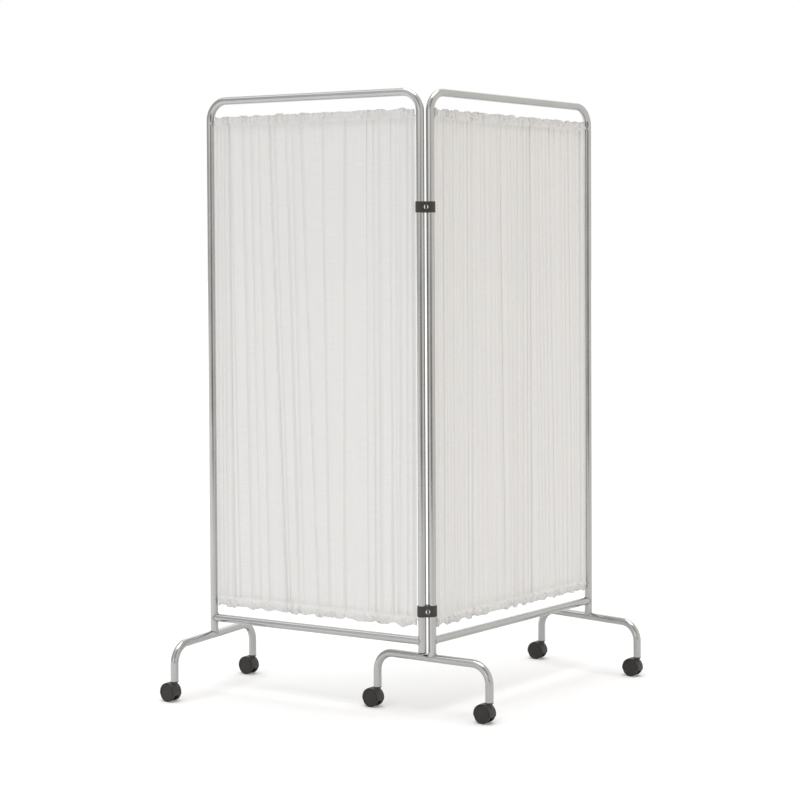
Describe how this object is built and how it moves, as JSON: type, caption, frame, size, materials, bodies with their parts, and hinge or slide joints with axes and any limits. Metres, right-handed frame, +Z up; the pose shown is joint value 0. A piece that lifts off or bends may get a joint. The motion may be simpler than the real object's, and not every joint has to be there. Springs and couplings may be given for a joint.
{
  "type": "folding privacy screen",
  "caption": "Folding ward privacy screen: bent chromed tube panels with gathered white curtains, joined by clamp hinges and standing on tube feet with twin-wheel castors.",
  "frame": {"origin": "on the floor, under the middle of the box that the screen fills as it stands", "axes": "+Z up; the hinge is at the front (-Y) and the two panels run back to the left (-X) and right (+X)"},
  "size_m": [1.4004, 0.7648, 1.6997],
  "materials": {
    "chromed_tube": "bright chromed steel tube, 22 mm",
    "black_plastic": "moulded black nylon, satin",
    "castor_wheel": "moulded black nylon wheel, satin, lightly scuffed tread",
    "zinc_steel": "zinc-plated turned steel",
    "bright_bolt": "bright plated bolt",
    "voile": "fine white semi-sheer polyester voile",
    "wire_cover": "white plastic cover of a sprung curtain wire"
  },
  "bodies": {
    "right_panel": {"right_frame": "chromed_tube", "right_bottom_rail": "chromed_tube", "right_top_wire": "wire_cover", "right_bottom_wire": "wire_cover", "right_curtain": "voile", "right_foot": "chromed_tube", "centre_foot": "chromed_tube", "centre_left_castor_socket": "black_plastic", "centre_right_castor_socket": "black_plastic", "right_back_castor_socket": "black_plastic", "right_front_castor_socket": "black_plastic"},
    "hinge_clips": {"upper_hinge_front": "black_plastic", "upper_hinge_back": "black_plastic", "upper_hinge_bolt": "bright_bolt", "upper_hinge_nut": "bright_bolt", "lower_hinge_front": "black_plastic", "lower_hinge_back": "black_plastic", "lower_hinge_bolt": "bright_bolt", "lower_hinge_nut": "bright_bolt"},
    "left_panel": {"left_frame": "chromed_tube", "left_bottom_rail": "chromed_tube", "left_top_wire": "wire_cover", "left_bottom_wire": "wire_cover", "left_curtain": "voile", "left_end_plug": "black_plastic", "left_foot": "chromed_tube", "left_front_castor_socket": "black_plastic", "left_back_castor_socket": "black_plastic"},
    "centre_left_swivel": {"centre_left_castor_stem": "zinc_steel", "centre_left_castor_hood": "black_plastic", "centre_left_castor_axle": "zinc_steel"},
    "centre_left_left_wheel": {"centre_left_castor_left_wheel": "castor_wheel"},
    "centre_left_right_wheel": {"centre_left_castor_right_wheel": "castor_wheel"},
    "centre_right_swivel": {"centre_right_castor_stem": "zinc_steel", "centre_right_castor_hood": "black_plastic", "centre_right_castor_axle": "zinc_steel"},
    "centre_right_left_wheel": {"centre_right_castor_left_wheel": "castor_wheel"},
    "centre_right_right_wheel": {"centre_right_castor_right_wheel": "castor_wheel"},
    "right_back_swivel": {"right_back_castor_stem": "zinc_steel", "right_back_castor_hood": "black_plastic", "right_back_castor_axle": "zinc_steel"},
    "right_back_left_wheel": {"right_back_castor_left_wheel": "castor_wheel"},
    "right_back_right_wheel": {"right_back_castor_right_wheel": "castor_wheel"},
    "right_front_swivel": {"right_front_castor_stem": "zinc_steel", "right_front_castor_hood": "black_plastic", "right_front_castor_axle": "zinc_steel"},
    "right_front_left_wheel": {"right_front_castor_left_wheel": "castor_wheel"},
    "right_front_right_wheel": {"right_front_castor_right_wheel": "castor_wheel"},
    "left_front_swivel": {"left_front_castor_stem": "zinc_steel", "left_front_castor_hood": "black_plastic", "left_front_castor_axle": "zinc_steel"},
    "left_front_left_wheel": {"left_front_castor_left_wheel": "castor_wheel"},
    "left_front_right_wheel": {"left_front_castor_right_wheel": "castor_wheel"},
    "left_back_swivel": {"left_back_castor_stem": "zinc_steel", "left_back_castor_hood": "black_plastic", "left_back_castor_axle": "zinc_steel"},
    "left_back_left_wheel": {"left_back_castor_left_wheel": "castor_wheel"},
    "left_back_right_wheel": {"left_back_castor_right_wheel": "castor_wheel"}
  },
  "joints": [
    {"name": "right_pivot", "type": "hinge", "parent": "right_panel", "child": "hinge_clips", "pos_m": [0.02451, -0.24287, 0.8315], "axis": [0, 0, 1], "range_deg": [-33, 111]},
    {"name": "left_pivot", "type": "hinge", "parent": "hinge_clips", "child": "left_panel", "pos_m": [-0.00249, -0.24287, 0.8315], "axis": [0, 0, 1], "range_deg": [-33, 111]},
    {"name": "centre_left_swivel_turn", "type": "hinge", "parent": "right_panel", "child": "centre_left_swivel", "pos_m": [-0.11052, -0.12235, 0.054], "axis": [0, 0, 1], "continuous": true},
    {"name": "centre_left_left_wheel_spin", "type": "hinge", "parent": "centre_left_swivel", "child": "centre_left_left_wheel", "pos_m": [-0.12154, -0.11074, 0.025], "axis": [0.7254, 0.6884, 0], "continuous": true},
    {"name": "centre_left_right_wheel_spin", "type": "hinge", "parent": "centre_left_swivel", "child": "centre_left_right_wheel", "pos_m": [-0.12154, -0.11074, 0.025], "axis": [0.7254, 0.6884, 0], "continuous": true},
    {"name": "centre_right_swivel_turn", "type": "hinge", "parent": "right_panel", "child": "centre_right_swivel", "pos_m": [0.15955, -0.3634, 0.054], "axis": [0, 0, 1], "continuous": true},
    {"name": "centre_right_left_wheel_spin", "type": "hinge", "parent": "centre_right_swivel", "child": "centre_right_left_wheel", "pos_m": [0.14854, -0.35179, 0.025], "axis": [0.7254, 0.6884, 0], "continuous": true},
    {"name": "centre_right_right_wheel_spin", "type": "hinge", "parent": "centre_right_swivel", "child": "centre_right_right_wheel", "pos_m": [0.14854, -0.35179, 0.025], "axis": [0.7254, 0.6884, 0], "continuous": true},
    {"name": "right_back_swivel_turn", "type": "hinge", "parent": "right_panel", "child": "right_back_swivel", "pos_m": [0.45207, 0.34019, 0.054], "axis": [0, 0, 1], "continuous": true},
    {"name": "right_back_left_wheel_spin", "type": "hinge", "parent": "right_back_swivel", "child": "right_back_left_wheel", "pos_m": [0.44105, 0.35179, 0.025], "axis": [0.7254, 0.6884, 0], "continuous": true},
    {"name": "right_back_right_wheel_spin", "type": "hinge", "parent": "right_back_swivel", "child": "right_back_right_wheel", "pos_m": [0.44105, 0.35179, 0.025], "axis": [0.7254, 0.6884, 0], "continuous": true},
    {"name": "right_front_swivel_turn", "type": "hinge", "parent": "right_panel", "child": "right_front_swivel", "pos_m": [0.68111, 0.05986, 0.054], "axis": [0, 0, 1], "continuous": true},
    {"name": "right_front_left_wheel_spin", "type": "hinge", "parent": "right_front_swivel", "child": "right_front_left_wheel", "pos_m": [0.67009, 0.07146, 0.025], "axis": [0.7254, 0.6884, 0], "continuous": true},
    {"name": "right_front_right_wheel_spin", "type": "hinge", "parent": "right_front_swivel", "child": "right_front_right_wheel", "pos_m": [0.67009, 0.07146, 0.025], "axis": [0.7254, 0.6884, 0], "continuous": true},
    {"name": "left_front_swivel_turn", "type": "hinge", "parent": "left_panel", "child": "left_front_swivel", "pos_m": [-0.65908, 0.05986, 0.054], "axis": [0, 0, 1], "continuous": true},
    {"name": "left_front_left_wheel_spin", "type": "hinge", "parent": "left_front_swivel", "child": "left_front_left_wheel", "pos_m": [-0.67009, 0.07146, 0.025], "axis": [0.7254, 0.6884, 0], "continuous": true},
    {"name": "left_front_right_wheel_spin", "type": "hinge", "parent": "left_front_swivel", "child": "left_front_right_wheel", "pos_m": [-0.67009, 0.07146, 0.025], "axis": [0.7254, 0.6884, 0], "continuous": true},
    {"name": "left_back_swivel_turn", "type": "hinge", "parent": "left_panel", "child": "left_back_swivel", "pos_m": [-0.43004, 0.34019, 0.054], "axis": [0, 0, 1], "continuous": true},
    {"name": "left_back_left_wheel_spin", "type": "hinge", "parent": "left_back_swivel", "child": "left_back_left_wheel", "pos_m": [-0.44105, 0.35179, 0.025], "axis": [0.7254, 0.6884, 0], "continuous": true},
    {"name": "left_back_right_wheel_spin", "type": "hinge", "parent": "left_back_swivel", "child": "left_back_right_wheel", "pos_m": [-0.44105, 0.35179, 0.025], "axis": [0.7254, 0.6884, 0], "continuous": true}
  ]
}
